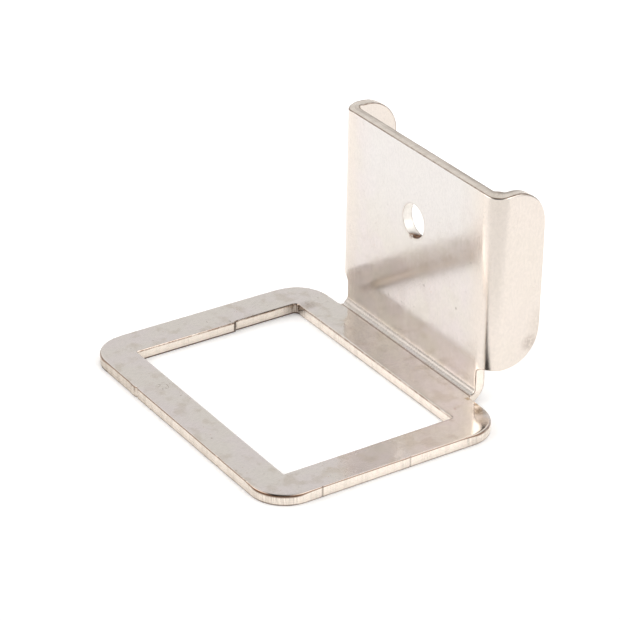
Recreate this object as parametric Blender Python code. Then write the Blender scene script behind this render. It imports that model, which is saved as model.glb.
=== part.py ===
"""Roof anchor: a strap frame, a neck and a flanged upright, stamped and folded from one sheet.

Metres, +Z up. The frame lies on the ground plane with its open side towards -Y, the upright
stands at +Y, and the origin is under the middle of the whole part.
"""

from math import atan2, cos, pi, sin, tan

import bmesh
import bpy
from mathutils import Matrix, Vector

# Sheet and folds
SHEET = 0.0020
FOLD_RADIUS = 0.0012  # inside every fold

# Frame that lies flat
FRAME_WIDTH = 0.0600
FRAME_DEPTH = 0.0458
SIDE_BAND = 0.0065
FRONT_BAND = 0.0063
REAR_BAND = 0.0064
FRAME_CORNER = 0.0063

# Window in the frame, whose left wall was nibbled in two hits
WINDOW_STEP = 0.00035
WINDOW_STEP_FROM_REAR = 0.0130
WINDOW_CORNER = 0.0008  # only the rear left corner is eased

# Upright
FOLD_SETBACK = 0.0002  # flat sheet between the frame's rear edge and the neck's fold
UPRIGHT_HEIGHT = 0.0394
PLATE_WIDTH = 0.0384  # between the flange folds, and the neck's width
FLANGE_DEPTH = 0.0105  # from the front face to the flange's free edge
FLANGE_START = 0.0070  # height of the flanges' lower edge
FLANGE_CORNER = 0.0063
RELIEF_RADIUS = 0.0009  # in the corners beside the neck

# Screw hole
HOLE_DIAMETER = 0.0062
HOLE_HEIGHT = 0.0264

# Fineness of the round stretches, and how far a cutter reaches past what it cuts
ARC_STEP = pi / 28
HOLE_SIDES = 64
REACH = 0.004

# Depths along Y, from the frame's front edge at 0 to the flanges' free edge
PLATE_FRONT = FRAME_DEPTH + FOLD_SETBACK + FOLD_RADIUS
PLATE_REAR = PLATE_FRONT + SHEET
FLANGE_END = PLATE_FRONT + FLANGE_DEPTH
OUTER_FOLD = FOLD_RADIUS + SHEET
HALF_NECK = PLATE_WIDTH / 2
HALF_UPRIGHT = HALF_NECK + OUTER_FOLD
TO_ORIGIN = Vector((0, -FLANGE_END / 2, 0))

# Exact quarter turns: outline X, Y and extrusion Z to the part's own axes
FLAT = Matrix.Identity(4)
FROM_SIDE = Matrix(((0, 0, 1, 0), (1, 0, 0, 0), (0, 1, 0, 0), (0, 0, 0, 1)))  # outline is Y, Z
FROM_FRONT = Matrix(((1, 0, 0, 0), (0, 0, -1, 0), (0, 1, 0, 0), (0, 0, 0, 1)))  # outline is X, Z


def clear_scene():
    for obj in list(bpy.data.objects):
        bpy.data.objects.remove(obj, do_unlink=True)


def new_collection(name):
    collection = bpy.data.collections.new(name)
    bpy.context.scene.collection.children.link(collection)
    return collection


def rounded_corner(before, corner, after, radius):
    """The points of an arc that touches both sides of a corner, or the corner itself."""
    corner = Vector(corner)
    if radius == 0:
        return [corner]
    inward = (Vector(before) - corner).normalized()
    outward = (Vector(after) - corner).normalized()
    half = inward.angle(outward) / 2
    middle = corner + (inward + outward).normalized() * (radius / sin(half))
    start = corner + inward * (radius / tan(half)) - middle
    turn = pi - 2 * half
    if inward.cross(outward) > 0:
        turn = -turn
    first = atan2(start.y, start.x)
    steps = max(2, round(abs(turn) / ARC_STEP))
    return [
        middle + radius * Vector((cos(first + turn * i / steps), sin(first + turn * i / steps)))
        for i in range(steps + 1)
    ]


def rounded_outline(corners):
    """Corners are (x, y, radius), in order round the outline."""
    points = []
    for i, (x, y, radius) in enumerate(corners):
        before = corners[i - 1][:2]
        after = corners[(i + 1) % len(corners)][:2]
        points += rounded_corner(before, (x, y), after, radius)
    return points


def flat_solid(name, outlines, low, high, turn, collection):
    """A closed mesh of the outlines, from low to high across them, turned to the part's axes."""
    curve = bpy.data.curves.new(name, "CURVE")
    curve.dimensions = "2D"
    curve.fill_mode = "BOTH"
    curve.extrude = (high - low) / 2
    for outline in outlines:
        spline = curve.splines.new("POLY")
        spline.points.add(len(outline) - 1)
        spline.use_cyclic_u = True
        for point, place in zip(spline.points, outline):
            point.co = (place.x, place.y, 0, 1)
    drawn = bpy.data.objects.new(name + "_outline", curve)
    collection.objects.link(drawn)
    graph = bpy.context.evaluated_depsgraph_get()
    mesh = bpy.data.meshes.new_from_object(drawn.evaluated_get(graph))
    bpy.data.objects.remove(drawn)
    mesh.transform(turn @ Matrix.Translation((0, 0, (low + high) / 2)))
    build = bmesh.new()
    build.from_mesh(mesh)
    bmesh.ops.remove_doubles(build, verts=build.verts, dist=1e-6)
    bmesh.ops.recalc_face_normals(build, faces=build.faces)
    build.to_mesh(mesh)
    build.free()
    mesh.name = name
    solid = bpy.data.objects.new(name, mesh)
    solid.location = TO_ORIGIN
    collection.objects.link(solid)
    return solid


def as_helper(obj):
    obj.hide_render = True
    obj.display_type = "WIRE"
    return obj


def boolean(obj, operation, other):
    modifier = obj.modifiers.new(f"{operation.lower()} {other.name}", "BOOLEAN")
    modifier.operation = operation
    modifier.object = other
    modifier.solver = "EXACT"


def frame_outline():
    side = FRAME_WIDTH / 2
    return rounded_outline(
        [
            (-side, 0, FRAME_CORNER),
            (side, 0, FRAME_CORNER),
            (side, FRAME_DEPTH, FRAME_CORNER),
            (-side, FRAME_DEPTH, FRAME_CORNER),
        ]
    )


def window_outline():
    side = FRAME_WIDTH / 2 - SIDE_BAND
    rear = FRAME_DEPTH - REAR_BAND
    step = rear - WINDOW_STEP_FROM_REAR
    return rounded_outline(
        [
            (-side, FRONT_BAND, 0),
            (side, FRONT_BAND, 0),
            (side, rear, 0),
            (-side - WINDOW_STEP, rear, WINDOW_CORNER),
            (-side - WINDOW_STEP, step, 0),
            (-side, step, 0),
        ]
    )


def strap_frame(collection):
    """The flat frame, which every other stretch of the sheet joins."""
    outlines = [frame_outline(), window_outline()]
    return flat_solid("anchor_bracket", outlines, 0, SHEET, FLAT, collection)


def neck(helpers):
    """The fold that turns the sheet up, from inside the rear band to inside the plate."""
    start = FRAME_DEPTH - REAR_BAND / 2
    top = (FLANGE_START + UPRIGHT_HEIGHT) / 2
    outline = rounded_outline(
        [
            (start, 0, 0),
            (PLATE_REAR, 0, OUTER_FOLD),
            (PLATE_REAR, top, 0),
            (PLATE_FRONT, top, 0),
            (PLATE_FRONT, SHEET, FOLD_RADIUS),
            (start, SHEET, 0),
        ]
    )
    half = HALF_NECK + RELIEF_RADIUS
    stock = flat_solid("neck", [outline], -half, half, FROM_SIDE, helpers)
    for side in (-1, 1):
        boolean(stock, "DIFFERENCE", plan_cut(side, helpers))
    return as_helper(stock)


def plan_cut(side, helpers):
    """What is punched out beside the neck, seen from above, with a fillet left on the frame."""
    corners = [
        (side * HALF_NECK, FRAME_DEPTH, RELIEF_RADIUS),
        (side * (HALF_NECK + REACH), FRAME_DEPTH, 0),
        (side * (HALF_NECK + REACH), PLATE_REAR + REACH, 0),
        (side * HALF_NECK, PLATE_REAR + REACH, 0),
    ]
    name = "plan_cut_left" if side < 0 else "plan_cut_right"
    outline = rounded_outline(corners)
    return as_helper(flat_solid(name, [outline], -REACH, UPRIGHT_HEIGHT, FLAT, helpers))


def front_cut(side, helpers):
    """What is punched out under a flange, seen from the front, with a fillet left on the neck."""
    corners = [
        (side * HALF_NECK, FLANGE_START, RELIEF_RADIUS),
        (side * (HALF_UPRIGHT + REACH), FLANGE_START, 0),
        (side * (HALF_UPRIGHT + REACH), -REACH, 0),
        (side * HALF_NECK, -REACH, 0),
    ]
    name = "front_cut_left" if side < 0 else "front_cut_right"
    outline = rounded_outline(corners)
    low = -(FLANGE_END + REACH)
    return as_helper(flat_solid(name, [outline], low, -FRAME_DEPTH, FROM_FRONT, helpers))


def flange_side(helpers):
    """The upright's outline from the side, with both free corners of the flanges rounded."""
    outline = rounded_outline(
        [
            (PLATE_FRONT - REACH, FLANGE_START - RELIEF_RADIUS, 0),
            (PLATE_FRONT + OUTER_FOLD, FLANGE_START - RELIEF_RADIUS, 0),
            (PLATE_FRONT + OUTER_FOLD, FLANGE_START, 0),
            (FLANGE_END, FLANGE_START, FLANGE_CORNER),
            (FLANGE_END, UPRIGHT_HEIGHT, FLANGE_CORNER),
            (PLATE_FRONT - REACH, UPRIGHT_HEIGHT, 0),
        ]
    )
    reach = HALF_UPRIGHT + REACH
    return as_helper(flat_solid("flange_side", [outline], -reach, reach, FROM_SIDE, helpers))


def upright(helpers):
    """The plate with its two flanges folded back, a channel seen from above."""
    outline = rounded_outline(
        [
            (-HALF_UPRIGHT, FLANGE_END, 0),
            (-HALF_UPRIGHT, PLATE_FRONT, OUTER_FOLD),
            (HALF_UPRIGHT, PLATE_FRONT, OUTER_FOLD),
            (HALF_UPRIGHT, FLANGE_END, 0),
            (HALF_UPRIGHT - SHEET, FLANGE_END, 0),
            (HALF_UPRIGHT - SHEET, PLATE_REAR, FOLD_RADIUS),
            (-HALF_UPRIGHT + SHEET, PLATE_REAR, FOLD_RADIUS),
            (-HALF_UPRIGHT + SHEET, FLANGE_END, 0),
        ]
    )
    channel = flat_solid("upright", [outline], 0, UPRIGHT_HEIGHT + REACH, FLAT, helpers)
    boolean(channel, "INTERSECT", flange_side(helpers))
    for side in (-1, 1):
        boolean(channel, "DIFFERENCE", front_cut(side, helpers))
    return as_helper(channel)


def screw_hole(helpers):
    bpy.ops.mesh.primitive_cylinder_add(
        vertices=HOLE_SIDES,
        radius=HOLE_DIAMETER / 2,
        depth=SHEET + 2 * REACH,
        location=Vector((0, PLATE_FRONT + SHEET / 2, HOLE_HEIGHT)) + TO_ORIGIN,
        rotation=(pi / 2, 0, 0),
    )
    cutter = bpy.context.object
    cutter.name = "screw_hole"
    for collection in list(cutter.users_collection):
        collection.objects.unlink(cutter)
    helpers.objects.link(cutter)
    return as_helper(cutter)


def plated_steel():
    material = bpy.data.materials.new("bright_plated_steel")
    material.use_nodes = True
    shader = material.node_tree.nodes["Principled BSDF"]
    shader.inputs["Base Color"].default_value = (0.72, 0.68, 0.64, 1)
    shader.inputs["Roughness"].default_value = 0.22
    shader.inputs["Metallic"].default_value = 1
    return material


def main():
    clear_scene()
    parts = new_collection("roof_anchor")
    helpers = new_collection("roof_anchor_cutters")
    bracket = strap_frame(parts)
    boolean(bracket, "UNION", neck(helpers))
    boolean(bracket, "UNION", upright(helpers))
    boolean(bracket, "DIFFERENCE", screw_hole(helpers))
    bracket.data.materials.append(plated_steel())
    bracket.data.shade_smooth()
    bracket.data.set_sharp_from_angle(angle=pi / 6)


main()
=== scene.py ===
from functools import partial
from math import atan2, cos, exp, pi, radians, sin, tan

import bmesh
import bpy
from mathutils import Matrix, Vector, noise


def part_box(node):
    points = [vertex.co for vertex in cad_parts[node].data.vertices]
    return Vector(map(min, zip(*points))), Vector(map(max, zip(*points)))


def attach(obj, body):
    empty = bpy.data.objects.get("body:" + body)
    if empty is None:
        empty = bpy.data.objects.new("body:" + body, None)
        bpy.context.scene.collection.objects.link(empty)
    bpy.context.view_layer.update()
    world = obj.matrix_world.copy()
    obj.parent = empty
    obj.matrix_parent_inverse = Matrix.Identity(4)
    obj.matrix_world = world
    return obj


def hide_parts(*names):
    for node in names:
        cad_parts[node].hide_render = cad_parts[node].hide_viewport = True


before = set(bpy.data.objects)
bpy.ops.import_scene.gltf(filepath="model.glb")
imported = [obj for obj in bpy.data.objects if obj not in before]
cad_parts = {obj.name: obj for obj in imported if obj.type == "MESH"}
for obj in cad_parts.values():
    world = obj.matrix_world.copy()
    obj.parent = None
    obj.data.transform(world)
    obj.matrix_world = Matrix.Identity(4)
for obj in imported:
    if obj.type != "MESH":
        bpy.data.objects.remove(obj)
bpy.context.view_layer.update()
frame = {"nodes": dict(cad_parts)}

mm = 0.001
print("frame loaded:", ", ".join(frame["nodes"]))


# ---- small helpers

def toLinear(hexColour):
    channels = []
    for i in (0, 2, 4):
        value = int(hexColour[i:i + 2], 16) / 255
        channels.append(value / 12.92 if value <= 0.04045 else ((value + 0.055) / 1.055) ** 2.4)
    return (*channels, 1)


def addNode(tree, kind, *values, feeds=None, **settings):
    # values go to the node's sockets in order, and feeds to sockets by name: a plain value, another
    # node's output, or a whole node, which stands for its first output
    made = tree.nodes.new(kind)
    for name, value in settings.items():
        setattr(made, name, value)
    filled = list(zip([socket for socket in made.inputs if socket.enabled], values))
    filled += [(made.inputs[name], value) for name, value in (feeds or {}).items()]
    for socket, value in filled:
        if isinstance(value, bpy.types.Node):
            value = next(output for output in value.outputs if output.enabled)
        if isinstance(value, bpy.types.NodeSocket):
            tree.links.new(value, socket)
        else:
            socket.default_value = value
    return made


mathNode = "ShaderNodeMath"
vectorMath = "ShaderNodeVectorMath"
mapRange = "ShaderNodeMapRange"
mixNode = "ShaderNodeMix"
smooth = {"interpolation_type": "SMOOTHSTEP"}
inColour = {"data_type": "RGBA"}


def smoothStep(value, low, high):
    share = min(max((value - low) / (high - low), 0), 1)
    return share * share * (3 - 2 * share)


# ---- the blank: one strip of sheet, punched flat before it is folded
# u runs across it, v along it from the frame's front edge, w up through the sheet

sheet = {
    "thickness": 2.0 * mm,
    "foldRadius": 1.2 * mm,       # inside every fold
    "foldSetback": 0.2 * mm,      # flat sheet left behind the frame before the neck folds
    "flangeDepth": 10.5 * mm,
    "flangeStart": 7.0 * mm,      # height of the flanges' lower edge
    "neckHalf": 19.2 * mm,        # also where the flanges start to fold
    "sideBand": 6.5 * mm,
    "frontBand": 6.3 * mm,
    "rearBand": 6.4 * mm,
    "corner": 6.3 * mm,
    "relief": 0.9 * mm,
    "windowStep": 0.35 * mm,      # two punch hits that don't quite line up
    "windowStepFromRear": 13.0 * mm,
    "windowEase": 0.8 * mm,       # radius of the window's rear left corner
    "windowSharp": 0.12 * mm,     # radius of its other corners
    "holeRadius": 3.1 * mm,
    "holeHeight": 26.4 * mm,
    "foldEase": 0.8 * mm,         # over which a fold starts and stops
    "foldBulge": 0.26 * mm,       # how far metal squeezes out at the ends of a fold
    "bulgeReach": 2.6 * mm,
}

low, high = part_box("anchor_bracket")
halfWidth = (high.x - low.x) / 2
overallDepth = high.y - low.y
upright = high.z
frameDepth = overallDepth - sheet["flangeDepth"] - sheet["foldRadius"] - sheet["foldSetback"]
neckFoldAt = frameDepth + sheet["foldSetback"]
foldLength = (sheet["foldRadius"] + sheet["thickness"] / 2) * pi / 2
foldGain = foldLength - sheet["thickness"] - sheet["foldRadius"]   # its flat length less its outer size
plateFrom = neckFoldAt + foldGain                                  # v of height 0
flangeHalf = sheet["neckHalf"] + sheet["flangeDepth"] + foldGain
windowCorner = (sheet["sideBand"] - halfWidth - sheet["windowStep"], frameDepth - sheet["rearBand"])
holeAt = plateFrom + sheet["holeHeight"]                           # v of the screw hole's centre

# the sheared edge: rolled over by the punch, more so round the corners, then burnished, then torn
# back a hair, with a fine burr edge below
shear = {
    # its profile, in plain millimetres
    "rollWidth": 0.17,
    "rollDepth": 0.18,
    "tornFrom": 0.78,             # height below which it tore
    "tornBack": 0.014,
    "rollSteps": 6,
    # how much more it rolls over, in shares: round large corners, in the window and in the hole
    "cornerRoll": 1.1,
    "windowRoll": 0.45,
    "holeRoll": -0.6,
    "largeCorner": 2.0 * mm,      # a corner of a larger radius is a large one
    "easeRounds": 8,              # how slowly the extra roll comes and goes along the edge
    "step": 0.7 * mm,             # spacing of points along a straight edge
    "arcStep": radians(3.2),
    "fewestArcSteps": 6,
    "longestArcStep": 1.0 * mm,
    "holeSides": 96,
    "waver": 0.014 * mm,          # how far the edge strays from a true line
    "waverSize": 1.6 * mm,
    "waverSquash": 0.3,           # it strays less through the thickness
    "slowWaver": (0.6, 0.17),     # a slower waver on top: share and pace
    "nickReach": 0.5 * mm,        # a nick acts on an edge this near
    "nickSpan": 3,                # half widths each side that get extra points
    "nickPoints": 8,
    # where the edge is nicked, or where two hits of the punch meet: u, v, half width, depth
    "nicks": [
        (halfWidth, 9.5 * mm, 0.07 * mm, 0.10 * mm),
        (halfWidth, 26.5 * mm, 0.08 * mm, 0.10 * mm),
        (halfWidth, 25.2 * mm, 0.9 * mm, -0.04 * mm),
        (-12.7 * mm, 0, 0.22 * mm, 0.20 * mm),
        (-13.9 * mm, 0, 0.80 * mm, -0.13 * mm),
        (13.5 * mm, 0, 0.50 * mm, 0.05 * mm),
        (21.5 * mm, 0.2 * mm, 0.30 * mm, 0.06 * mm),
    ],
}


def roundedCorner(before, corner, after, radius):
    corner = Vector(corner)
    if radius == 0:
        return [corner]
    inward = (Vector(before) - corner).normalized()
    outward = (Vector(after) - corner).normalized()
    half = inward.angle(outward) / 2
    middle = corner + (inward + outward).normalized() * (radius / sin(half))
    start = corner + inward * (radius / tan(half)) - middle
    turn = (pi - 2 * half) * (-1 if inward.cross(outward) > 0 else 1)
    first = atan2(start.y, start.x)
    steps = max(shear["fewestArcSteps"], round(abs(turn) / shear["arcStep"]))
    angles = [first + turn * i / steps for i in range(steps + 1)]
    return [middle + radius * Vector((cos(angle), sin(angle))) for angle in angles]


def outlineOf(corners):
    # returns (point, bend) pairs, where bend is 1 round a large corner and 0 on a straight
    rounded = []
    for i, (u, v, radius) in enumerate(corners):
        points = roundedCorner(corners[i - 1][:2], (u, v), corners[(i + 1) % len(corners)][:2], radius)
        rounded += [(point, 1.0 if radius > shear["largeCorner"] else 0.0) for point in points]
    pairs = []
    for i, (point, bend) in enumerate(rounded):
        following, bendAhead = rounded[(i + 1) % len(rounded)]
        ahead = following - point
        onArc = bend and bendAhead and ahead.length < shear["longestArcStep"]
        steps = max(1, round(ahead.length / shear["step"]))
        stops = [j / steps for j in range(steps)]
        for u, v, width, depth in shear["nicks"]:
            middle = (Vector((u, v)) - point).dot(ahead) / ahead.length_squared
            away = (point + ahead * middle - Vector((u, v))).length
            if away < shear["nickReach"]:
                span = shear["nickSpan"] * width / ahead.length
                points = shear["nickPoints"]
                stops += [middle + span * j / points for j in range(-points, points + 1)]
        # a stop at 1 would be the next point over again
        stops = sorted({round(stop, 5) for stop in stops if 0 <= stop < 0.9999})
        pairs += [(point + ahead * stop, bend if stop == 0 or onArc else 0.0) for stop in stops]
    bends = [bend for point, bend in pairs]
    count = len(bends)
    for _ in range(shear["easeRounds"]):
        bends = [(bends[i - 1] + 2 * bends[i] + bends[(i + 1) % count]) / 4 for i in range(count)]
    return [(point, bend) for (point, _), bend in zip(pairs, bends)]


def blankOutline():
    neck, relief, corner = sheet["neckHalf"], sheet["relief"], sheet["corner"]
    flangeFrom = plateFrom + sheet["flangeStart"]
    top = plateFrom + upright
    right = [
        (halfWidth, 0, corner),
        (halfWidth, frameDepth, corner),
        (neck, frameDepth, relief),
        (neck, flangeFrom, relief),
        (flangeHalf, flangeFrom, corner),
        (flangeHalf, top, corner),
    ]
    left = [(-u, v, radius) for u, v, radius in reversed(right)]
    return outlineOf(right + left)


def windowOutline():
    # clockwise, so that the metal lies on the same hand as on the blank's outline
    side = halfWidth - sheet["sideBand"]
    rear = frameDepth - sheet["rearBand"]
    stepAt = rear - sheet["windowStepFromRear"]
    wide = -side - sheet["windowStep"]
    outline = outlineOf([
        (-side, sheet["frontBand"], sheet["windowSharp"]),
        (-side, stepAt, 0),
        (wide, stepAt, 0),
        (wide, rear, sheet["windowEase"]),
        (side, rear, sheet["windowSharp"]),
        (side, sheet["frontBand"], sheet["windowSharp"]),
    ])
    return [(point, shear["windowRoll"]) for point, bend in outline]


def holeOutline():
    # clockwise too
    centre = Vector((0, holeAt))
    sides = shear["holeSides"]
    angles = [-2 * pi * i / sides for i in range(sides)]
    points = [centre + sheet["holeRadius"] * Vector((cos(angle), sin(angle))) for angle in angles]
    return [(point, shear["holeRoll"]) for point in points]


def intoMetal(points):
    # at each point, the mitred direction that points into the metal
    directions = []
    for i, point in enumerate(points):
        back = (point - points[i - 1]).normalized()
        ahead = (points[(i + 1) % len(points)] - point).normalized()
        normalBack = Vector((-back.y, back.x))
        normalAhead = Vector((-ahead.y, ahead.x))
        directions.append((normalBack + normalAhead) / (1 + normalBack.dot(normalAhead)))
    return directions


def nickAt(point):
    return sum(depth * exp(-((point - Vector((u, v))).length / width) ** 2)
               for u, v, width, depth in shear["nicks"])


def shearProfile():
    # (inset, drop below the top face, how much both grow round a corner, how far it counts as
    # part of the cut, and as the thin line along the rim of worn plating and painted shade)
    thick = sheet["thickness"] / mm
    roll, depth, steps = shear["rollWidth"], shear["rollDepth"], shear["rollSteps"]
    profile = [(roll + 0.42, 0, 1, 0, 0), (roll + 0.10, 0, 1, 0, 0)]
    for i in range(steps + 1):
        turn = pi / 2 * i / steps
        share, line = smoothStep(i, 0, steps), smoothStep(i, steps * 0.3, steps * 0.7)
        profile.append((roll * (1 - sin(turn)), depth * (1 - cos(turn)), 1, share, line))
    torn, back = shear["tornFrom"], shear["tornBack"]
    profile += [
        (0, depth + 0.05, 1, 1, 0.4),
        (0, depth + 0.14, 1, 1, 0),
        (0, thick - torn - 0.1, 0, 1, 0),
        (back * 0.6, thick - torn + 0.08, 0, 1, 0),
        (back, thick - torn * 0.45, 0, 1, 0),
        (back, thick - 0.20, 0, 1, 0),
        (back, thick - 0.10, 0, 1, 0.6),
        (back + 0.02, thick - 0.04, 0, 1, 1),
        (back + 0.06, thick, 0, 0.6, 1),
        (back + 0.22, thick, 0, 0, 0),
        (back + 0.5, thick, 0, 0, 0),
    ]
    return profile


def addEdge(build, outline, cutLayer, rimLayer):
    directions = intoMetal([point for point, bend in outline])
    slowShare, slowPace = shear["slowWaver"]
    rings = []
    for inset, drop, rolled, cut, rim in shearProfile():
        ring = []
        for (point, bend), direction in zip(outline, directions):
            grow = 1 + rolled * bend * shear["cornerRoll"]
            height = sheet["thickness"] - drop * grow * mm
            seed = Vector((point.x, point.y, height * shear["waverSquash"])) / shear["waverSize"]
            waver = noise.noise(seed) + slowShare * noise.noise(seed * slowPace)
            waver *= shear["waver"] * cut
            place = point + direction * (inset * grow * mm + waver + nickAt(point) * min(1, cut * 2))
            vertex = build.verts.new((place.x, place.y, height))
            vertex[cutLayer] = cut
            vertex[rimLayer] = rim
            ring.append(vertex)
        rings.append(ring)
    for upper, lower in zip(rings, rings[1:]):
        for i in range(len(upper)):
            j = (i + 1) % len(upper)
            build.faces.new((upper[i], lower[i], lower[j], upper[j]))
    return rings[0], rings[-1]


def fillFace(build, rims):
    edges = []
    for rim in rims:
        edges += [build.edges.get((rim[i - 1], rim[i])) for i in range(len(rim))]
    bmesh.ops.triangle_fill(build, edges=edges, use_beauty=True, use_dissolve=False)


# edge lines added across the blank, so that the folds and their ends have points to bend at
cuts = {
    "foldSteps": 28,
    "besideFold": (0.25 * mm, 0.5 * mm, 0.8 * mm, 1.2 * mm),
    "fromEnd": (0.7 * mm, 1.1 * mm, 1.6 * mm, 2.2 * mm, 3.0 * mm, 4.0 * mm),
    "margin": 2 * mm,             # how far the lines run past the stretch that needs them
    "neckMargin": 3 * mm,
}


def cutAcross(build, normal, places, keep):
    for place in places:
        faces = [face for face in build.faces if keep(face.calc_center_median())]
        edges = {edge for face in faces for edge in face.edges}
        vertices = {vertex for face in faces for vertex in face.verts}
        bmesh.ops.bisect_plane(build, geom=list(vertices) + list(edges) + faces, dist=1e-7,
                               plane_co=Vector(normal) * place, plane_no=Vector(normal))


def cutForFolds(build):
    flangeFoot = plateFrom + sheet["flangeStart"]
    plateTop = plateFrom + upright
    neckHalf = sheet["neckHalf"]

    def onPlate(place):
        return place.y > flangeFoot - cuts["margin"]

    def byNeck(place):
        return frameDepth - cuts["margin"] < place.y < flangeFoot + cuts["neckMargin"]

    def overFold(place):
        return onPlate(place) and abs(place.x) > neckHalf - cuts["margin"]

    steps = cuts["foldSteps"]
    support = [-place for place in reversed(cuts["besideFold"])]
    support += [foldLength * i / steps for i in range(steps + 1)]
    support += [foldLength + place for place in cuts["besideFold"]]
    cutAcross(build, (0, 1, 0), [neckFoldAt + place for place in support], byNeck)
    for side in (-1, 1):
        cutAcross(build, (1, 0, 0), [side * (neckHalf + place) for place in support], onPlate)
        cutAcross(build, (1, 0, 0), [side * (neckHalf - place) for place in cuts["fromEnd"]], byNeck)
    cutAcross(build, (0, 1, 0), [plateTop - place for place in cuts["fromEnd"]], overFold)
    cutAcross(build, (0, 1, 0), [flangeFoot + place for place in cuts["fromEnd"]], overFold)


def makeBlank():
    build = bmesh.new()
    cutLayer = build.verts.layers.float.new("cut")
    rimLayer = build.verts.layers.float.new("rim")
    outlines = (blankOutline(), windowOutline(), holeOutline())
    rims = [addEdge(build, outline, cutLayer, rimLayer) for outline in outlines]
    fillFace(build, [top for top, bottom in rims])
    fillFace(build, [bottom for top, bottom in rims])
    bmesh.ops.recalc_face_normals(build, faces=build.faces)
    cutForFolds(build)
    mesh = bpy.data.meshes.new("anchorSheet")
    build.to_mesh(mesh)
    build.free()
    blank = bpy.data.objects.new("anchor_sheet", mesh)
    bpy.context.scene.collection.objects.link(blank)
    print("blank punched:", len(mesh.polygons), "faces")
    return blank


# ---- folding, as a Geometry Nodes rule

def foldRule():
    # Along is how far a point lies past the fold line, Reach how far it is from the fold's inner face
    tree = bpy.data.node_groups.new("foldRule", "GeometryNodeTree")
    add = partial(addNode, tree)
    for name in ("Along", "Reach", "Fold Radius", "Thickness", "Angle", "Ease"):
        tree.interface.new_socket(name, in_out="INPUT", socket_type="NodeSocketFloat")
    for name in ("Forward", "Rise", "Bent"):
        tree.interface.new_socket(name, in_out="OUTPUT", socket_type="NodeSocketFloat")
    given = add("NodeGroupInput").outputs
    along, ease, angle = given["Along"], given["Ease"], given["Angle"]

    # eased at both ends, since sheet never goes from flat to round at once
    neutral = add(mathNode, given["Thickness"], 0.5, given["Fold Radius"], operation="MULTIPLY_ADD")
    whole = add(mathNode, neutral, angle, operation="MULTIPLY")
    before = add(mathNode, along, 0.0, ease, operation="SMOOTH_MIN")
    curved = add(mathNode, along, 0.0, ease, operation="SMOOTH_MAX")
    curved = add(mathNode, curved, whole, ease, operation="SMOOTH_MIN")
    past = add(mathNode, along, whole, operation="SUBTRACT")
    past = add(mathNode, past, 0.0, ease, operation="SMOOTH_MAX")
    bent = add(mathNode, curved, neutral, operation="DIVIDE")
    radius = add(mathNode, given["Fold Radius"], given["Reach"], operation="ADD")

    sine = add(mathNode, bent, operation="SINE")
    forward = add(mathNode, radius, sine, before, operation="MULTIPLY_ADD")
    straightOn = add(mathNode, angle, operation="COSINE")
    forward = add(mathNode, past, straightOn, forward, operation="MULTIPLY_ADD")
    cosine = add(mathNode, bent, operation="COSINE")
    drawnIn = add(mathNode, 1.0, cosine, operation="SUBTRACT")
    rise = add(mathNode, radius, drawnIn, operation="MULTIPLY")
    straightUp = add(mathNode, angle, operation="SINE")
    rise = add(mathNode, past, straightUp, rise, operation="MULTIPLY_ADD")
    share = add(mathNode, bent, angle, operation="DIVIDE")
    add("NodeGroupOutput", feeds={"Forward": forward, "Rise": rise, "Bent": share})
    return tree


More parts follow.
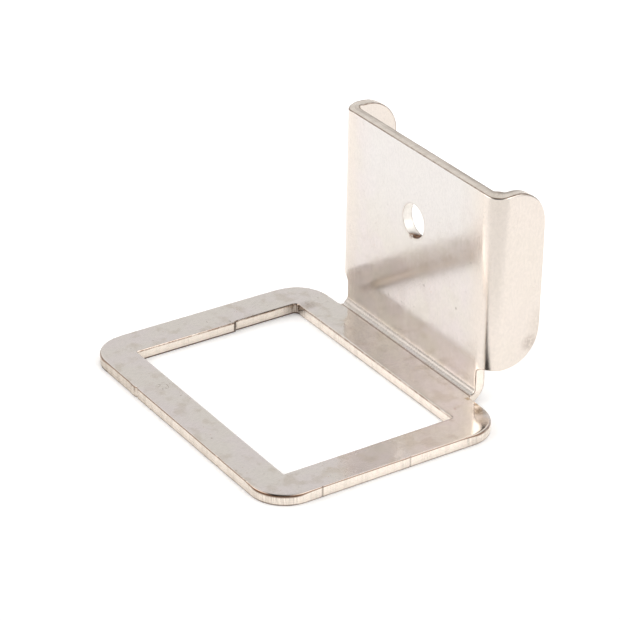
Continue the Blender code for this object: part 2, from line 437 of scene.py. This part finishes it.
def foldTree(rule):
    tree = bpy.data.node_groups.new("foldSheet", "GeometryNodeTree")
    add = partial(addNode, tree)
    face = tree.interface
    face.new_socket("Geometry", in_out="INPUT", socket_type="NodeSocketGeometry")
    sizes = {
        "Thickness": sheet["thickness"],
        "Fold Radius": sheet["foldRadius"],
        "Angle": radians(90),
        "Ease": sheet["foldEase"],
        "Neck Fold": neckFoldAt,
        "Neck Half": sheet["neckHalf"],
        "Flange Foot": plateFrom + sheet["flangeStart"],
        "Plate Top": plateFrom + upright,
        "Fold Bulge": sheet["foldBulge"],
        "Bulge Reach": sheet["bulgeReach"],
        "Front": low.y,
    }
    for name in sizes:
        face.new_socket(name, in_out="INPUT", socket_type="NodeSocketFloat")
    face.new_socket("Finish", in_out="INPUT", socket_type="NodeSocketMaterial")
    face.new_socket("Geometry", in_out="OUTPUT", socket_type="NodeSocketGeometry")
    given = add("NodeGroupInput").outputs

    def nearEdge(fromPlace, toPlace):
        # 1 where the two places meet, fading to 0 a short way apart
        apart = add(mathNode, fromPlace, toPlace, operation="SUBTRACT")
        return add(mapRange, apart, 0.0, given["Bulge Reach"], 1.0, 0.0, **smooth)

    def fold(along, reach):
        feeds = {"Along": along, "Reach": reach}
        for name in ("Fold Radius", "Thickness", "Angle", "Ease"):
            feeds[name] = given[name]
        return add("GeometryNodeGroup", node_tree=rule, feeds=feeds).outputs

    def bulgeOf(bent):
        # metal squeezes out most in the middle of a fold: outward above, inward below
        arch = add(mathNode, bent, pi, operation="MULTIPLY")
        arch = add(mathNode, arch, operation="SINE")
        return add(mathNode, arch, depth, operation="MULTIPLY")

    flat = add("GeometryNodeInputPosition")
    kept = add("GeometryNodeStoreNamedAttribute", data_type="FLOAT_VECTOR", domain="POINT",
               feeds={"Geometry": given["Geometry"], "Name": "blank", "Value": flat})
    u, v, w = add("ShaderNodeSeparateXYZ", flat).outputs
    side = add(mathNode, u, operation="SIGN")
    out = add(mathNode, u, operation="ABSOLUTE")
    depth = add(mathNode, w, given["Thickness"], operation="DIVIDE")
    depth = add(mathNode, depth, 2.0, -1.0, operation="MULTIPLY_ADD")   # -1 below, 1 above

    # the two flanges go back, away from the sheet's upper face
    pastFlange = add(mathNode, out, given["Neck Half"], operation="SUBTRACT")
    flange = fold(pastFlange, w)
    atFoot = nearEdge(v, given["Flange Foot"])
    atTop = nearEdge(given["Plate Top"], v)
    ends = add(mathNode, atFoot, atTop, operation="SUBTRACT")
    ends = add(mathNode, ends, given["Fold Bulge"], operation="MULTIPLY")
    squeeze = add(mathNode, bulgeOf(flange["Bent"]), ends, operation="MULTIPLY")
    plateStart = add(mathNode, given["Flange Foot"], 2 * mm, operation="SUBTRACT")
    onPlate = add(mathNode, v, plateStart, operation="GREATER_THAN")
    foldedU = add(mathNode, given["Neck Half"], flange["Forward"], operation="ADD")
    foldedU = add(mathNode, side, foldedU, operation="MULTIPLY")
    u1 = add(mixNode, onPlate, u, foldedU)
    drop = add(mathNode, onPlate, flange["Rise"], operation="MULTIPLY")
    w1 = add(mathNode, w, drop, operation="SUBTRACT")
    v1 = add(mathNode, onPlate, squeeze, v, operation="MULTIPLY_ADD")

    # then the neck goes up
    pastNeck = add(mathNode, v1, given["Neck Fold"], operation="SUBTRACT")
    belowTop = add(mathNode, given["Thickness"], w1, operation="SUBTRACT")
    neck = fold(pastNeck, belowTop)
    atSide = add(mathNode, nearEdge(given["Neck Half"], out), given["Fold Bulge"], operation="MULTIPLY")
    spread = add(mathNode, bulgeOf(neck["Bent"]), atSide, operation="MULTIPLY")
    x = add(mathNode, spread, side, u1, operation="MULTIPLY_ADD")
    y = add(mathNode, given["Neck Fold"], neck["Forward"], operation="ADD")
    y = add(mathNode, y, given["Front"], operation="ADD")
    z = add(mathNode, w1, neck["Rise"], operation="ADD")
    folded = add("ShaderNodeCombineXYZ", x, y, z)
    placed = add("GeometryNodeSetPosition", feeds={"Geometry": kept, "Position": folded})
    real = add("GeometryNodeRealizeInstances", placed)
    finished = add("GeometryNodeSetMaterial", feeds={"Geometry": real, "Material": given["Finish"]})
    add("NodeGroupOutput", feeds={"Geometry": finished})
    return tree, sizes


def foldBlank(blank, finish):
    tree, sizes = foldTree(foldRule())
    modifier = blank.modifiers.new("fold", "NODES")
    modifier.node_group = tree
    for item in tree.interface.items_tree:
        if item.in_out == "INPUT" and item.name in sizes:
            modifier[item.identifier] = sizes[item.name]
        elif item.in_out == "INPUT" and item.name == "Finish":
            modifier[item.identifier] = finish
    graph = bpy.context.evaluated_depsgraph_get()
    mesh = bpy.data.meshes.new_from_object(blank.evaluated_get(graph))
    blank.modifiers.remove(modifier)
    flat = blank.data
    blank.data = mesh
    bpy.data.meshes.remove(flat)
    mesh.shade_smooth()
    print("folded:", len(mesh.vertices), "points")
    return blank


# ---- nickel plated steel: rolled, punched, folded and then plated, so it is a soft warm mirror
# with rolling lines along the strip, wiped lines at the flange folds and duller torn edges. All of
# it is laid out on the flat blank, so that it follows the sheet round its folds

even = (1, 1, 1)

nickel = {
    "colours": {
        "face": "D9D2CD",
        "pinkish": "DBD1CE",
        "creamy": "DAD3C9",
        "dulled": "C6BBAE",
        "edge": "F4EADF",
        "dullEdge": "C3B7A9",
        "topEdge": "A79C92",
        "warm": "DFD5CB",
        "highlightTone": "D9D5D2",
        "holeWallHighlight": "F9F6F1",
        "foldShade": "B9B0A8",
        # rim: worn plating, and painted shade over the rolled rim's reflection and in the neck's crease
        "rim": "8A705E",
        "burrAndShade": "5E4636",
        "stain": "7E6A58",
        "holeSpot": "5A3A20",
        "fleck": "B07A4A",
    },
    # noise over the blank: size of its blobs, detail, how tightly it is packed along u, v and w
    # (under 1 draws it out into lines), and a shift that sets it apart from the others
    "clouds": {
        "grain": (0.30 * mm, 3, (1, 0.5, 1), 0),
        "tint": (7.0 * mm, 2, even, 0),
        "dull": (3.2 * mm, 4, even, 5),
        "spots": (0.9 * mm, 3, even, 4),
        "patches": (6.0 * mm, 2, even, 9),
        "flecks": (0.30 * mm, 1, even, 31),
        "squiggle": (1.1 * mm, 1, even, 21),
        "broken": (0.5 * mm, 3, even, 27),
        "ribs": (0.16 * mm, 2, (1, 1, 0.02), 3),          # shear lines down the cut edge
        "cornerRibs": (0.11 * mm, 2, (1, 1, 0.03), 23),
        "blotch": (1.3 * mm, 3, (1, 1, 0.3), 12),
        "tornTop": (0.8 * mm, 3, (0.12, 1, 1), 41),
        "rimPatches": (0.8 * mm, 3, even, 14),
        "rimStretches": (9.0 * mm, 1, even, 33),
        "holeSpot": (0.7 * mm, 2, even, 17),
        "holeSpotFlecks": (0.35 * mm, 1, even, 19),
        "streaks": (0.20 * mm, 3, (1, 0.02, 1), 0),       # rolling lines, drawn coarse enough to show
        "haze": (3.0 * mm, 4, even, 2),
        "waves": (14.0 * mm, 1, even, 1),
        "pebble": (1.2 * mm, 3, even, 6),
        "pits": (0.7 * mm, 2, even, 8),
    },
    "shiftShares": (1, 0.7, 1.3),
    "polish": 0.13,               # roughness of the faces
    "tornPolish": 0.30,           # roughness of the cut edges
    "grainShade": 0.030,          # how much the fine grain darkens and lightens
    # heights of the relief, in millimetres
    "waveHeight": 0.022,
    "pebbleHeight": 0.0020,
    "grainHeight": 0.0012,
    "lineHeight": (0.0006, 0.0030),   # everywhere, and how much more where it is wiped or bent
    "ribHeight": 0.005,
    "pitDepth": -0.006,
    # thin dark lines of painted shade down the cut edge, where two hits of the punch meet: u, v, strength
    "hits": [
        (-23.7 * mm, 26.2 * mm, 0.9),
        (30.0 * mm, 9.5 * mm, 0.5),
        (30.0 * mm, 26.5 * mm, 0.3),
    ],
    "squiggleAt": (-10.6 * mm, 4.3 * mm, 1.7 * mm),   # u, v, radius
    # marks on the faces: u, v, radius, colour, strength
    "marks": [
        (21.5 * mm, 41.5 * mm, 0.22 * mm, "B4553A", 0.7),
        (20.6 * mm, 43.8 * mm, 0.26 * mm, "6B5A4E", 0.7),
        (23.2 * mm, 39.6 * mm, 0.40 * mm, "7E6A58", 0.6),
        (19.9 * mm, 45.3 * mm, 0.80 * mm, "9A7A3C", 0.6),
        # painted shade over the frame's bright reflection by the relief, on a dark golden mark
        (22.3 * mm, 45.5 * mm, 0.80 * mm, "7A6238", 0.8),
        (16.5 * mm, 71.9 * mm, 0.30 * mm, "8E7F74", 0.6),
        (13.0 * mm, 61.8 * mm, 0.35 * mm, "8E7F74", 0.6),
        (28.0 * mm, 57.2 * mm, 2.20 * mm, "B5A89E", 0.7),
        (30.6 * mm, 60.5 * mm, 4.50 * mm, "CBC1B6", 0.5),
        (-22.0 * mm, 40.6 * mm, 2.20 * mm, "A3958A", 0.5),
        # painted shade over the frame's bright reflection beside the relief
        (24.2 * mm, 44.6 * mm, 1.90 * mm, "9C8E7E", 0.8),
        (-0.6 * mm, 69.5 * mm, 0.60 * mm, "7A5236", 0.8),
    ],
}

shades = {name: toLinear(colour) for name, colour in nickel["colours"].items()}


# every function below takes add, which adds a node to the finish, and at, the values that hold at a
# point. Noise runs from about 0.25 to 0.75, and its two limits say which part of it shows

def cloud(add, at, name):
    size, detail, packed, shift = nickel["clouds"][name]
    place = add("ShaderNodeMapping", feeds={
        "Vector": at["blank"],
        "Scale": [share / size for share in packed],
        "Location": [shift * share for share in nickel["shiftShares"]],
    })
    return add("ShaderNodeTexNoise", feeds={"Vector": place, "Scale": 1.0, "Detail": detail})


def spot(add, at, u, v, radius, softness=1.0):
    # 1 at a place on the blank's upper face, fading out over the outer part of its radius
    away = add(vectorMath, at["blank"], (u, v, sheet["thickness"]), operation="DISTANCE")
    return add(mapRange, away, radius * (1 - softness), radius, 1.0, 0.0, **smooth)


def bandAt(add, place, middle, full, gone, strength=1.0):
    # a line or band either side of one value of u or v
    away = add(mathNode, place, middle, operation="SUBTRACT")
    away = add(mathNode, away, operation="ABSOLUTE")
    return add(mapRange, away, full, gone, strength, 0.0, **smooth)


def placesOn(add):
    # where a point lies on the flat blank, on a cut edge or on its rim, and how near the folds it is
    blank = add("ShaderNodeAttribute", attribute_name="blank").outputs["Vector"]
    u, v, w = add("ShaderNodeSeparateXYZ", blank).outputs
    out = add(mathNode, u, operation="ABSOLUTE")
    onPlate = add(mapRange, v, plateFrom, plateFrom + 6 * mm, **smooth)
    byFlange = add(mapRange, out, sheet["neckHalf"] - 4 * mm, sheet["neckHalf"] + 0.5 * mm, **smooth)
    return {
        "blank": blank,
        "u": u,
        "v": v,
        "w": w,
        "out": out,
        "cut": add("ShaderNodeAttribute", attribute_name="cut").outputs["Fac"],
        "rim": add("ShaderNodeAttribute", attribute_name="rim").outputs["Fac"],
        "wiped": add(mathNode, byFlange, onPlate, operation="MULTIPLY"),
        "bent": bandAt(add, v, neckFoldAt + foldLength / 2, foldLength * 0.35, foldLength * 0.7),
        "fromHole": add(vectorMath, blank, (0, holeAt, sheet["thickness"]), operation="DISTANCE"),
    }


def faceColour(add, at):
    # plating varies slowly between pinkish and creamy, with dull patches and a few brown stains
    creamy = add(mapRange, cloud(add, at, "tint"), 0.35, 0.65, **smooth)
    tint = add(mixNode, creamy, shades["pinkish"], shades["creamy"], **inColour)
    face = add(mixNode, 0.6, shades["face"], tint, **inColour)
    dull = add(mapRange, cloud(add, at, "dull"), 0.50, 0.66, 0.0, 0.55, **smooth)
    lessOnPlate = add(mapRange, at["v"], frameDepth, plateFrom + 8 * mm, 1.0, 0.25, **smooth)
    at["dulled"] = add(mathNode, dull, lessOnPlate, operation="MULTIPLY")
    face = add(mixNode, at["dulled"], face, shades["dulled"], **inColour)
    spots = add(mapRange, cloud(add, at, "spots"), 0.66, 0.76, 0.0, 0.5, **smooth)
    patches = add(mapRange, cloud(add, at, "patches"), 0.48, 0.62, **smooth)
    stained = add(mathNode, spots, patches, operation="MULTIPLY")
    flecks = add(mapRange, cloud(add, at, "flecks"), 0.70, 0.76, 0.0, 0.8, **smooth)
    flecks = add(mathNode, flecks, patches, operation="MULTIPLY")
    face = add(mixNode, flecks, face, shades["fleck"], **inColour)

    # a squiggle of dried flux, along the lines where its noise crosses the middle
    squiggle = bandAt(add, cloud(add, at, "squiggle"), 0.5, 0.0, 0.05, 0.6)
    squiggle = add(mathNode, squiggle, spot(add, at, *nickel["squiggleAt"], 0.7), operation="MULTIPLY")
    at["stained"] = add(mathNode, stained, squiggle, operation="MAXIMUM")
    face = add(mixNode, at["stained"], face, shades["stain"], **inColour)

    # warmer by the flange folds, painted shade in the neck fold, dulled round the hole, painted highlight
    # high on the plate
    warmth = add(mathNode, at["wiped"], 0.8, operation="MULTIPLY")
    face = add(mixNode, warmth, face, shades["warm"], **inColour)
    # painted shade across the neck's fold, leaving its start light as a thin bright line
    foldShade = bandAt(add, at["v"], neckFoldAt + foldLength * 0.61, foldLength * 0.03, foldLength * 0.38)
    face = add(mixNode, foldShade, face, shades["foldShade"], **inColour)
    holeRadius = sheet["holeRadius"]
    ring = add(mapRange, at["fromHole"], holeRadius + 0.15 * mm, holeRadius + 0.60 * mm, 0.6, 0.0, **smooth)
    face = add(mixNode, ring, face, shades["dulled"], **inColour)
    # painted highlight tone: the plate paler and more neutral up high, where its reflection is brightest
    higher = add(mapRange, at["v"], plateFrom + 14 * mm, plateFrom + 34 * mm, 0.0, 0.8, **smooth)
    offFlange = add(mapRange, at["out"], sheet["neckHalf"] - 8 * mm, sheet["neckHalf"], 1.0, 0.0, **smooth)
    highlightTone = add(mathNode, higher, offFlange, operation="MULTIPLY")
    face = add(mixNode, highlightTone, face, shades["highlightTone"], **inColour)

    broken = add(mapRange, cloud(add, at, "broken"), 0.30, 0.55, 0.25, 1.0, **smooth)
    for u, v, radius, colour, strength in nickel["marks"]:
        mark = add(mathNode, spot(add, at, u, v, radius, 0.8), broken, operation="MULTIPLY")
        mark = add(mathNode, mark, strength, operation="MULTIPLY")
        face = add(mixNode, mark, face, toLinear(colour), **inColour)
    return face


def edgeColour(add, at):
    # the cut edge: shear lines through the thickness, duller along the front and the plate's top edge
    u, v, w = at["u"], at["v"], at["w"]
    plateTop = plateFrom + upright
    ribs, blotch = at["ribs"], at["blotch"]
    lined = add(mathNode, ribs, 0.5, operation="MULTIPLY")
    lined = add(mathNode, blotch, 0.7, lined, operation="MULTIPLY_ADD")
    lined = add(mapRange, lined, 0.54, 0.80, 0.0, 0.34, **smooth)
    edge = add(mixNode, lined, shades["edge"], shades["dulled"], **inColour)
    byFront = add(mapRange, v, 0.4 * mm, 2.0 * mm, 1.0, 0.0, **smooth)
    lessRight = add(mapRange, u, -26 * mm, 6 * mm, 1.0, 0.40, **smooth)
    atFront = add(mathNode, byFront, lessRight, operation="MULTIPLY")
    atTop = add(mapRange, v, plateTop - 2 * mm, plateTop - 0.4 * mm, 0.0, 0.45, **smooth)
    duller = add(mathNode, atFront, atTop, operation="MAXIMUM")
    blotchy = add(mapRange, blotch, 0.30, 0.65, 0.65, 1.0, **smooth)
    duller = add(mathNode, duller, blotchy, operation="MULTIPLY")
    edge = add(mixNode, duller, edge, shades["dullEdge"], **inColour)

    # the upright's top edge is darker where it tore
    topOnly = add(mapRange, v, plateTop - 0.8 * mm, plateTop - 0.4 * mm, **smooth)
    tornPart = add(mapRange, w, 0.5 * mm, 1.1 * mm, 0.75, 0.0, **smooth)
    tornTop = add(mathNode, topOnly, tornPart, operation="MULTIPLY")
    streaky = add(mapRange, cloud(add, at, "tornTop"), 0.38, 0.62, 0.25, 1.0, **smooth)
    tornTop = add(mathNode, tornTop, streaky, operation="MULTIPLY")
    edge = add(mixNode, tornTop, edge, shades["topEdge"], **inColour)

    # painted reflection: the screw hole's wall near white, as bright as the floor it reflects
    wall = add(mathNode, at["hole"], 0.8, operation="MULTIPLY")
    edge = add(mixNode, wall, edge, shades["holeWallHighlight"], **inColour)
    frontCorner = spot(add, at, halfWidth, 0.0, 6.5 * mm, 0.5)
    rearCorner = spot(add, at, halfWidth, frameDepth - 6 * mm, 3.5 * mm, 0.5)
    ribbed = add(mathNode, frontCorner, rearCorner, operation="MAXIMUM")
    fineRibs = add(mapRange, cloud(add, at, "cornerRibs"), 0.42, 0.66, 0.0, 0.42, **smooth)
    ribbed = add(mathNode, ribbed, fineRibs, operation="MULTIPLY")
    edge = add(mixNode, ribbed, edge, shades["stain"], **inColour)
    # painted shade: the wall inside the window a little darker
    windowWallShade = add(mathNode, at["inWindow"], 0.25, operation="MULTIPLY")
    return add(mixNode, windowWallShade, edge, shades["dullEdge"], **inColour)


def rimBurrAndShade(add, at, colour):
    # worn plating along the rolled rim in broken stretches, with painted shade over the rim's bright
    # reflection, but unbroken along the front and the flanges' far edges, and hardly any at the back of the
    # screw hole
    wornAndShaded = add(mapRange, cloud(add, at, "rimPatches"), 0.34, 0.58, 0.55, 1.0, **smooth)
    stretches = add(mapRange, cloud(add, at, "rimStretches"), 0.35, 0.60, 0.70, 1.0, **smooth)
    patchy = add(mathNode, wornAndShaded, stretches, operation="MULTIPLY")
    farOut = add(mapRange, at["out"], flangeHalf - 1.0 * mm, flangeHalf - 0.2 * mm, **smooth)
    byFront = add(mapRange, at["v"], 0.6 * mm, 4.0 * mm, 1.0, 0.0, **smooth)
    whole = add(mathNode, farOut, byFront, operation="MAXIMUM")
    wornAndShaded = add(mathNode, patchy, whole, operation="MAXIMUM")
    offHole = add(mapRange, at["fromHole"], 4 * mm, 5 * mm, 0.15, 1.0, **smooth)
    upperHalf = add(mapRange, at["w"], 1.0 * mm, 1.4 * mm, **smooth)
    shown = add(mathNode, offHole, upperHalf, operation="MAXIMUM")
    wornAndShaded = add(mathNode, wornAndShaded, shown, operation="MULTIPLY")
    wornAndShaded = add(mathNode, at["rim"], wornAndShaded, operation="MULTIPLY")
    colour = add(mixNode, wornAndShaded, colour, shades["rim"], **inColour)

    # darkest round the front corner: dark marks, and painted shade over the rim's bright reflection there
    atCorner = spot(add, at, halfWidth - 1.5 * mm, 1.5 * mm, 5.5 * mm, 0.4)
    darkRim = add(mathNode, at["rim"], atCorner, operation="MULTIPLY")
    upperRim = add(mapRange, at["w"], 1.0 * mm, 1.4 * mm, 0.0, 0.9, **smooth)
    darkRim = add(mathNode, darkRim, upperRim, operation="MULTIPLY")
    colour = add(mixNode, darkRim, colour, shades["burrAndShade"], **inColour)

    # burr and painted contact shade at the foot of the cut edge, most in the window and round the front
    # corner
    cornerBurrAndShade = add(mathNode, atCorner, 0.6, operation="MULTIPLY")
    burrAndShadeAt = add(mathNode, at["inWindow"], cornerBurrAndShade, operation="MAXIMUM")
    elsewhere = add(mathNode, patchy, 0.3, operation="MULTIPLY")
    burrAndShadeAt = add(mathNode, burrAndShadeAt, elsewhere, operation="MAXIMUM")
    lowest = add(mapRange, at["w"], 0.16 * mm, 0.36 * mm, 1.0, 0.0, **smooth)
    burrAndShade = add(mathNode, at["cut"], burrAndShadeAt, operation="MULTIPLY")
    burrAndShade = add(mathNode, burrAndShade, lowest, operation="MULTIPLY")
    return add(mixNode, burrAndShade, colour, shades["burrAndShade"], **inColour)


def shadeAndHoleSpot(add, at, colour):
    # painted shade, with dark ticks, in the eased corner of the window, in the notch in the front and where
    # two hits meet
    lines = add(mapRange, at["ribs"], 0.40, 0.60, 0.25, 1.0, **smooth)
    shadeInRecesses = add(mathNode, spot(add, at, *windowCorner, 4.0 * mm), at["cut"], operation="MULTIPLY")
    shadeInRecesses = add(mathNode, shadeInRecesses, lines, operation="MULTIPLY")
    blotchy = add(mapRange, at["blotch"], 0.35, 0.60, 0.2, 0.9, **smooth)
    notch = add(mathNode, spot(add, at, -13.2 * mm, 0.0, 1.5 * mm, 0.6), at["cut"], operation="MULTIPLY")
    notch = add(mathNode, notch, blotchy, operation="MULTIPLY")
    shadeInRecesses = add(mathNode, shadeInRecesses, notch, operation="MAXIMUM")
    for u, v, strength in nickel["hits"]:
        line = bandAt(add, at["v"], v, 0.08 * mm, 0.24 * mm, strength)
        hit = add(mathNode, spot(add, at, u, v, 2.4 * mm, 0.2), at["cut"], operation="MULTIPLY")
        hit = add(mathNode, hit, line, operation="MULTIPLY")
        shadeInRecesses = add(mathNode, shadeInRecesses, hit, operation="MAXIMUM")
    colour = add(mixNode, shadeInRecesses, colour, shades["burrAndShade"], **inColour)

    # a dark brown patch, flecked with orange, low in the screw hole
    lowInHole = spot(add, at, 0.7 * mm, holeAt - sheet["holeRadius"], 2.5 * mm, 0.45)
    lowInHole = add(mathNode, lowInHole, at["cut"], operation="MULTIPLY")
    holeSpot = add(mapRange, cloud(add, at, "holeSpot"), 0.30, 0.42, 0.35, 0.97, **smooth)
    holeSpot = add(mathNode, lowInHole, holeSpot, operation="MULTIPLY")
    flecks = add(mapRange, cloud(add, at, "holeSpotFlecks"), 0.56, 0.62, 0.0, 0.8, **smooth)
    holeSpotColour = add(mixNode, flecks, shades["holeSpot"], shades["fleck"], **inColour)
    colour = add(mixNode, holeSpot, colour, holeSpotColour, **inColour)

    # painted shade in the crease where the neck starts to bend, also standing for the folding tool's line
    # there
    creaseShade = bandAt(add, at["v"], neckFoldAt + 0.20 * mm, 0.08 * mm, 0.22 * mm)
    onTop = add(mapRange, at["w"], 1.4 * mm, 1.9 * mm, 0.0, 0.7, **smooth)
    creaseShade = add(mathNode, creaseShade, onTop, operation="MULTIPLY")
    return add(mixNode, creaseShade, colour, shades["rim"], **inColour)


def polishOf(add, at):
    # cloudy, streaked along the strip, wiped beside the flange folds, duller where torn
    haze = add(mapRange, cloud(add, at, "haze"), 0.3, 0.7, -0.02, 0.03, **smooth)
    rough = add(mathNode, nickel["polish"], haze, operation="ADD")
    streaky = add(mapRange, at["streaks"], 0.3, 0.7, -0.5, 1.0, **smooth)
    streakShare = add(mathNode, at["drawn"], 0.05, 0.015, operation="MULTIPLY_ADD")
    rough = add(mathNode, streaky, streakShare, rough, operation="MULTIPLY_ADD")
    spoilt = add(mathNode, at["stained"], at["dulled"], operation="MAXIMUM")
    rough = add(mathNode, spoilt, 0.12, rough, operation="MULTIPLY_ADD")
    byFlange = add(mathNode, at["wiped"], 0.05, operation="MULTIPLY")
    inNeck = add(mathNode, at["bent"], 0.10, operation="MULTIPLY")
    worked = add(mathNode, byFlange, inNeck, operation="MAXIMUM")
    rough = add(mathNode, rough, worked, operation="ADD")
    lower = add(mapRange, at["w"], 0.6 * mm, 1.0 * mm, 1.0, 0.5, **smooth)
    torn = add(mathNode, at["cut"], lower, operation="MULTIPLY")
    rough = add(mixNode, torn, rough, nickel["tornPolish"])
    wall = add(mathNode, at["hole"], at["cut"], operation="MULTIPLY")
    return add(mathNode, wall, 0.25, rough, operation="MULTIPLY_ADD")


def reliefOf(add, at):
    # slow waves of rolled sheet, pebbling, grain, drawn lines, shear lines and small pits
    waves = add(mathNode, cloud(add, at, "waves"), nickel["waveHeight"], operation="MULTIPLY")
    pebble = add(mathNode, cloud(add, at, "pebble"), nickel["pebbleHeight"], operation="MULTIPLY")
    grain = add(mathNode, at["grain"], nickel["grainHeight"], operation="MULTIPLY")
    everywhere, more = nickel["lineHeight"]
    lineHeight = add(mathNode, at["drawn"], more, everywhere, operation="MULTIPLY_ADD")
    lines = add(mathNode, at["streaks"], lineHeight, operation="MULTIPLY")
    ribHeight = add(mathNode, at["cut"], nickel["ribHeight"], operation="MULTIPLY")
    ribs = add(mathNode, at["ribs"], ribHeight, operation="MULTIPLY")
    pits = add(mapRange, cloud(add, at, "pits"), 0.72, 0.80, 0.0, nickel["pitDepth"], **smooth)
    height = waves
    for layer in (pebble, grain, lines, ribs, pits):
        height = add(mathNode, height, layer, operation="ADD")
    return add("ShaderNodeBump", feeds={"Height": height, "Strength": 1.0, "Distance": 1 * mm})


def nickelPlate():
    material = bpy.data.materials.new("nickelPlatedSteel")
    material.use_nodes = True
    tree = material.node_tree
    shader = tree.nodes["Principled BSDF"]
    shader.inputs["Metallic"].default_value = 1
    add = partial(addNode, tree)
    at = placesOn(add)
    for name in ("grain", "ribs", "blotch", "streaks"):
        at[name] = cloud(add, at, name)
    at["drawn"] = add(mathNode, at["wiped"], at["bent"], operation="MAXIMUM")
    at["hole"] = spot(add, at, 0.0, holeAt, 5 * mm, 0.1)
    onFrame = add(mapRange, at["v"], frameDepth, frameDepth + 2 * mm, 1.0, 0.0, **smooth)
    byWindow = bandAt(add, at["u"], windowCorner[0], 0.9 * mm, 1.5 * mm)
    at["inWindow"] = add(mathNode, byWindow, onFrame, operation="MULTIPLY")

    colour = add(mixNode, at["cut"], faceColour(add, at), edgeColour(add, at), **inColour)
    colour = rimBurrAndShade(add, at, colour)
    colour = shadeAndHoleSpot(add, at, colour)
    shade = add(mapRange, at["grain"], 0.3, 0.7, 1 - nickel["grainShade"], 1 + nickel["grainShade"], **smooth)
    colour = add(vectorMath, colour, shade, operation="SCALE")
    tree.links.new(colour.outputs["Vector"], shader.inputs["Base Color"])
    tree.links.new(polishOf(add, at).outputs[0], shader.inputs["Roughness"])
    tree.links.new(reliefOf(add, at).outputs[0], shader.inputs["Normal"])
    print("finish made:", len(tree.nodes), "nodes")
    return material


# ---- the stage: a backlit pale table in a light tent that is open towards the viewer

tent = {
    "walls": 0.62,
    # where the cloth is lit or open: direction, cosine where it starts and where it is full, change
    "patches": [
        ((-0.76, 0.44, 0.47), 0.78, 0.95, 0.26),
        ((-0.73, 0.00, 0.68), 0.90, 0.99, 0.22),
        ((-0.70, -0.52, 0.48), 0.85, 0.98, 0.13),
        ((-0.30, -0.83, 0.475), 0.85, 0.955, 2.7),
        ((0.55, 0.45, 0.70), 0.84, 0.97, 1.1),
        ((0.88, 0.20, 0.43), 0.86, 0.97, 1.4),
        ((0.30, -0.58, 0.76), 0.78, 0.93, -0.59),
    ],
    "table": "F6F5F4",
    "tableHalf": 4.0,
    "tableBelow": 0.02 * mm,      # a hair under the part, so that the two don't share a face
    "tableRoughness": 0.9,
    "tableShine": 0.1,
    "glow": 0.35,
    "glowShade": 3.5 * mm,        # how far the part shades the glow
    "glowShadeSamples": 6,
    # the lit part of the table stops short of the viewer's right
    "glowToward": (0.80, -0.60, 0),
    "glowEnds": (22 * mm, 62 * mm),
    "glowLeft": 0.35,
}

view = {
    "azimuth": 56.41,
    "elevation": 28.37,
    "roll": 0.85,
    "distance": 0.43774,
    "aim": (0.0, 1.15 * mm, 18.0 * mm),
    "slideRight": -2.99 * mm,
    "slideUp": -3.39 * mm,
    "lens": 151.56,
}


def tablePaint():
    # matt white acrylic, lit from below
    paint = bpy.data.materials.new("paleTable")
    paint.use_nodes = True
    tree = paint.node_tree
    add = partial(addNode, tree)
    shader = tree.nodes["Principled BSDF"]
    shader.inputs["Base Color"].default_value = toLinear(tent["table"])
    shader.inputs["Roughness"].default_value = tent["tableRoughness"]
    shader.inputs["Specular IOR Level"].default_value = tent["tableShine"]
    shader.inputs["Emission Color"].default_value = (1, 1, 1, 1)
    place = add("ShaderNodeTexCoord").outputs["Object"]
    along = add(vectorMath, place, tent["glowToward"], operation="DOT_PRODUCT")
    glow, left = tent["glow"], tent["glow"] * tent["glowLeft"]
    glow = add(mapRange, along, *tent["glowEnds"], glow, left, **smooth)
    shade = add("ShaderNodeAmbientOcclusion", samples=tent["glowShadeSamples"],
                feeds={"Distance": tent["glowShade"]}).outputs["AO"]
    glow = add(mathNode, glow, shade, operation="MULTIPLY")
    tree.links.new(glow.outputs[0], shader.inputs["Emission Strength"])
    return paint


def makeFloor():
    build = bmesh.new()
    bmesh.ops.create_grid(build, x_segments=1, y_segments=1, size=tent["tableHalf"])
    mesh = bpy.data.meshes.new("floor")
    build.to_mesh(mesh)
    build.free()
    mesh.transform(Matrix.Translation((0, 0, low.z - tent["tableBelow"])))
    mesh.materials.append(tablePaint())
    floor = bpy.data.objects.new("floor", mesh)
    bpy.context.scene.collection.objects.link(floor)


def makeTent():
    world = bpy.data.worlds.new("tent")
    bpy.context.scene.world = world
    world.use_nodes = True
    tree = world.node_tree
    add = partial(addNode, tree)
    way = add("ShaderNodeTexCoord").outputs["Generated"]
    light = tent["walls"]
    for direction, starts, full, change in tent["patches"]:
        near = add(vectorMath, way, Vector(direction).normalized(), operation="DOT_PRODUCT")
        patch = add(mapRange, near, starts, full, 0.0, change, **smooth)
        light = add(mathNode, light, patch, operation="ADD")
    tree.links.new(light.outputs[0], tree.nodes["Background"].inputs["Strength"])
    tree.nodes["Background"].inputs["Color"].default_value = (1, 1, 1, 1)


def makeCamera():
    azimuth, elevation, roll = (radians(view[name]) for name in ("azimuth", "elevation", "roll"))
    back = Vector((sin(azimuth) * cos(elevation), -cos(azimuth) * cos(elevation), sin(elevation)))
    level = Vector((cos(azimuth), sin(azimuth), 0))
    rise = back.cross(level)
    right = cos(roll) * level + sin(roll) * rise
    up = -sin(roll) * level + cos(roll) * rise
    lens = bpy.data.cameras.new("camera")
    lens.lens = view["lens"]
    lens.clip_start = 10 * mm
    camera = bpy.data.objects.new("camera", lens)
    slide = right * view["slideRight"] + up * view["slideUp"]
    place = Vector(view["aim"]) + back * view["distance"] + slide
    turn = Matrix((right, up, back)).transposed().to_4x4()
    camera.matrix_world = Matrix.Translation(place) @ turn
    bpy.context.scene.collection.objects.link(camera)
    bpy.context.scene.camera = camera
    bpy.context.scene.view_settings.view_transform = "Standard"


anchor = foldBlank(makeBlank(), nickelPlate())
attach(anchor, "root")
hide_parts("anchor_bracket")
makeFloor()
makeTent()
makeCamera()
print("stage set")
